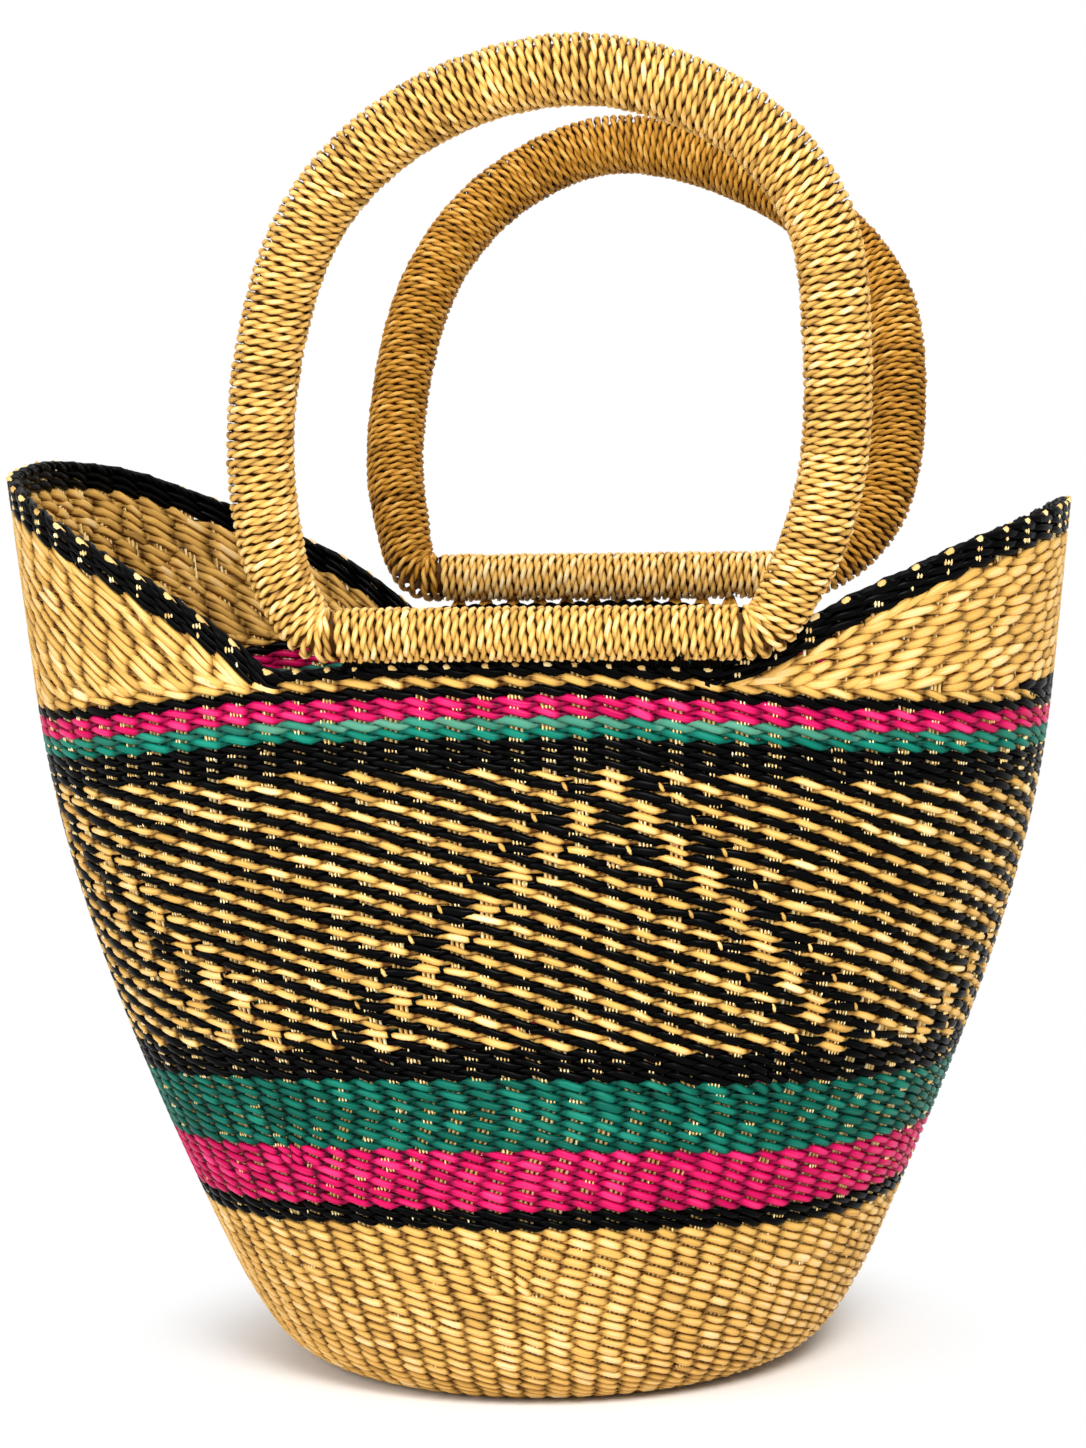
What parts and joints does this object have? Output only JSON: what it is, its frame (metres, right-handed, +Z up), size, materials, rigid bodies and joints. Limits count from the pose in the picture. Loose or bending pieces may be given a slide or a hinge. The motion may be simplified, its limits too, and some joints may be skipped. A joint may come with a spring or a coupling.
{
  "type": "woven straw basket",
  "caption": "Boat-shaped twined straw basket with a round base, coloured bands, raised wings and wrapped hoop handles.",
  "frame": {"origin": "middle of the round base's underside", "axes": "+Z up, +X toward the right wing of the mouth, -Y toward the front handle"},
  "size_m": [0.4088, 0.3709, 0.5004],
  "materials": {
    "natural_straw": "satin woven straw",
    "shaded_straw": "satin woven straw",
    "black_straw": "satin woven straw",
    "pink_straw": "satin woven straw",
    "green_straw": "satin woven straw",
    "bright_green_straw": "satin woven straw",
    "patterned_straw": "satin woven straw"
  },
  "bodies": {
    "basket": {"base_start_under": "natural_straw", "base_start_over": "natural_straw", "base_weft": "natural_straw", "stakes": "natural_straw", "lower_natural_band": "natural_straw", "lower_black_line": "black_straw", "lower_pink_band": "pink_straw", "lower_green_band": "green_straw", "lower_black_band": "black_straw", "pattern_band": "patterned_straw", "upper_black_band": "black_straw", "upper_green_band": "bright_green_straw", "upper_pink_band": "pink_straw", "upper_black_row": "black_straw", "upper_natural_row": "natural_straw", "left_wing": "natural_straw", "right_wing": "natural_straw", "rim_border": "black_straw", "front_bar_lashing": "natural_straw", "back_bar_lashing": "shaded_straw", "front_bar_wrap_1": "natural_straw", "back_bar_wrap_1": "shaded_straw", "front_bar_wrap_2": "natural_straw", "back_bar_wrap_2": "shaded_straw", "front_bar_wrap_3": "natural_straw", "back_bar_wrap_3": "shaded_straw", "front_bar_wrap_4": "natural_straw", "back_bar_wrap_4": "shaded_straw"},
    "front_handle": {"front_handle_core": "shaded_straw", "front_handle_wrap": "natural_straw"},
    "back_handle": {"back_handle_core": "shaded_straw", "back_handle_wrap": "shaded_straw"}
  },
  "joints": [
    {"name": "front_handle_tilt", "type": "hinge", "parent": "basket", "child": "front_handle", "pos_m": [0.016, -0.12935, 0.29081], "axis": [1, 0, 0], "range_deg": [-30, 75]},
    {"name": "back_handle_tilt", "type": "hinge", "parent": "basket", "child": "back_handle", "pos_m": [0.016, 0.12935, 0.29081], "axis": [-1, 0, 0], "range_deg": [-56, 49]}
  ]
}
